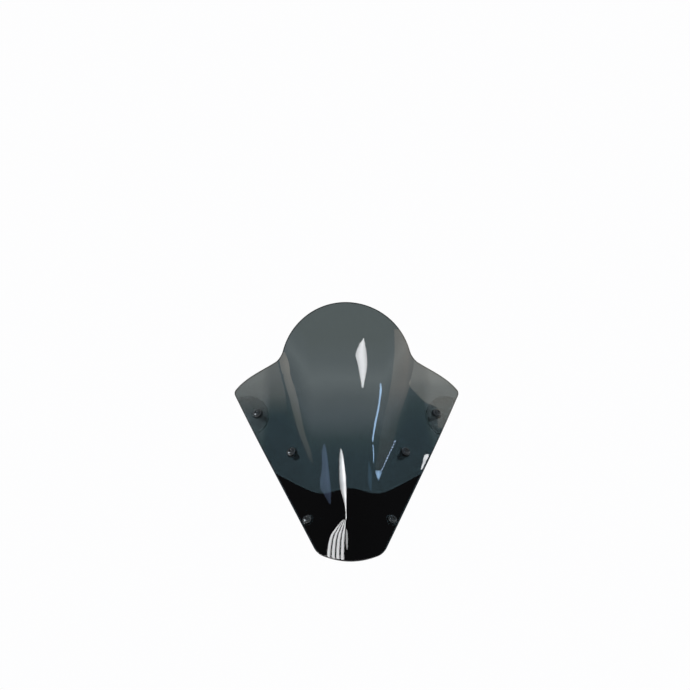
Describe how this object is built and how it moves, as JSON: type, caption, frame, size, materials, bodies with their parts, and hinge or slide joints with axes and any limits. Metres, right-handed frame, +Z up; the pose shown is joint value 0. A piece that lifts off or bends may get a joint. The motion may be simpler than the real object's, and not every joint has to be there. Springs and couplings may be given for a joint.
{
  "type": "motorcycle windscreen",
  "caption": "Smoked double-bubble windscreen for a sports motorcycle, with a blacked-out nose, foam and rubber pads, and screws in rubber well nuts.",
  "frame": {"origin": "middle of the nose seat's flat back, on the plane of symmetry, where the screen rests on the fairing's nose", "axes": "+Z up as fitted to the motorcycle, -Y the direction of travel, +X the rider's left"},
  "size_m": [0.2906, 0.2763, 0.3328],
  "materials": {
    "smoked_acrylic": "polished",
    "black_film": "gloss",
    "grey_foam": "matte",
    "gasket_rubber": "matte",
    "seat_rubber": "matte",
    "black_steel": "satin",
    "black_nylon": "satin",
    "well_nut_rubber": "matte",
    "brass": "satin"
  },
  "bodies": {
    "root": {"blackout_mask": "black_film", "edge_gasket_left": "gasket_rubber", "edge_gasket_right": "gasket_rubber", "insert_lower_left": "brass", "insert_lower_right": "brass", "insert_middle_left": "brass", "insert_middle_right": "brass", "insert_upper_left": "brass", "insert_upper_right": "brass", "nose_seat": "seat_rubber", "screen_panel": "smoked_acrylic", "well_nut_lower_left": "well_nut_rubber", "well_nut_lower_right": "well_nut_rubber", "well_nut_middle_left": "well_nut_rubber", "well_nut_middle_right": "well_nut_rubber", "well_nut_upper_left": "well_nut_rubber", "well_nut_upper_right": "well_nut_rubber", "wing_pad_left": "grey_foam", "wing_pad_right": "grey_foam"},
    "washer_upper_left": {"washer_upper_left": "black_nylon"},
    "screw_upper_left": {"screw_upper_left": "black_steel"},
    "washer_upper_right": {"washer_upper_right": "black_nylon"},
    "screw_upper_right": {"screw_upper_right": "black_steel"},
    "washer_middle_left": {"washer_middle_left": "black_nylon"},
    "screw_middle_left": {"screw_middle_left": "black_steel"},
    "washer_middle_right": {"washer_middle_right": "black_nylon"},
    "screw_middle_right": {"screw_middle_right": "black_steel"},
    "washer_lower_left": {"washer_lower_left": "black_nylon"},
    "screw_lower_left": {"screw_lower_left": "black_steel"},
    "washer_lower_right": {"washer_lower_right": "black_nylon"},
    "screw_lower_right": {"screw_lower_right": "black_steel"}
  },
  "joints": [
    {"name": "screw_upper_left_travel", "type": "slide", "parent": "root", "child": "washer_upper_left", "axis": [0.4594, -0.6844, 0.5662], "range_m": [0, 0.008]},
    {"name": "screw_upper_left_turn", "type": "hinge", "parent": "washer_upper_left", "child": "screw_upper_left", "pos_m": [0.116, 0.16921, 0.1763], "axis": [0.4594, -0.6844, 0.5662], "range_deg": [0, 3600]},
    {"name": "screw_upper_right_travel", "type": "slide", "parent": "root", "child": "washer_upper_right", "axis": [-0.4594, -0.6844, 0.5662], "range_m": [0, 0.008]},
    {"name": "screw_upper_right_turn", "type": "hinge", "parent": "washer_upper_right", "child": "screw_upper_right", "pos_m": [-0.116, 0.16921, 0.1763], "axis": [-0.4594, -0.6844, 0.5662], "range_deg": [0, 3600]},
    {"name": "screw_middle_left_travel", "type": "slide", "parent": "root", "child": "washer_middle_left", "axis": [0.4423, -0.72, 0.5348], "range_m": [0, 0.008]},
    {"name": "screw_middle_left_turn", "type": "hinge", "parent": "washer_middle_left", "child": "screw_middle_left", "pos_m": [0.0736, 0.10336, 0.1273], "axis": [0.4423, -0.72, 0.5348], "range_deg": [0, 3600]},
    {"name": "screw_middle_right_travel", "type": "slide", "parent": "root", "child": "washer_middle_right", "axis": [-0.4423, -0.72, 0.5348], "range_m": [0, 0.008]},
    {"name": "screw_middle_right_turn", "type": "hinge", "parent": "washer_middle_right", "child": "screw_middle_right", "pos_m": [-0.0736, 0.10336, 0.1273], "axis": [-0.4423, -0.72, 0.5348], "range_deg": [0, 3600]},
    {"name": "screw_lower_left_travel", "type": "slide", "parent": "root", "child": "washer_lower_left", "axis": [0.4226, -0.7612, 0.492], "range_m": [0, 0.008]},
    {"name": "screw_lower_left_turn", "type": "hinge", "parent": "washer_lower_left", "child": "screw_lower_left", "pos_m": [0.0545, 0.03287, 0.0413], "axis": [0.4226, -0.7612, 0.492], "range_deg": [0, 3600]},
    {"name": "screw_lower_right_travel", "type": "slide", "parent": "root", "child": "washer_lower_right", "axis": [-0.4226, -0.7612, 0.492], "range_m": [0, 0.008]},
    {"name": "screw_lower_right_turn", "type": "hinge", "parent": "washer_lower_right", "child": "screw_lower_right", "pos_m": [-0.0545, 0.03287, 0.0413], "axis": [-0.4226, -0.7612, 0.492], "range_deg": [0, 3600]}
  ],
  "couplings": [
    {"joint": "screw_upper_left_turn", "follows": "screw_upper_left_travel", "rad_per_m": 7854},
    {"joint": "screw_upper_right_turn", "follows": "screw_upper_right_travel", "rad_per_m": 7854},
    {"joint": "screw_middle_left_turn", "follows": "screw_middle_left_travel", "rad_per_m": 7854},
    {"joint": "screw_middle_right_turn", "follows": "screw_middle_right_travel", "rad_per_m": 7854},
    {"joint": "screw_lower_left_turn", "follows": "screw_lower_left_travel", "rad_per_m": 7854},
    {"joint": "screw_lower_right_turn", "follows": "screw_lower_right_travel", "rad_per_m": 7854}
  ]
}
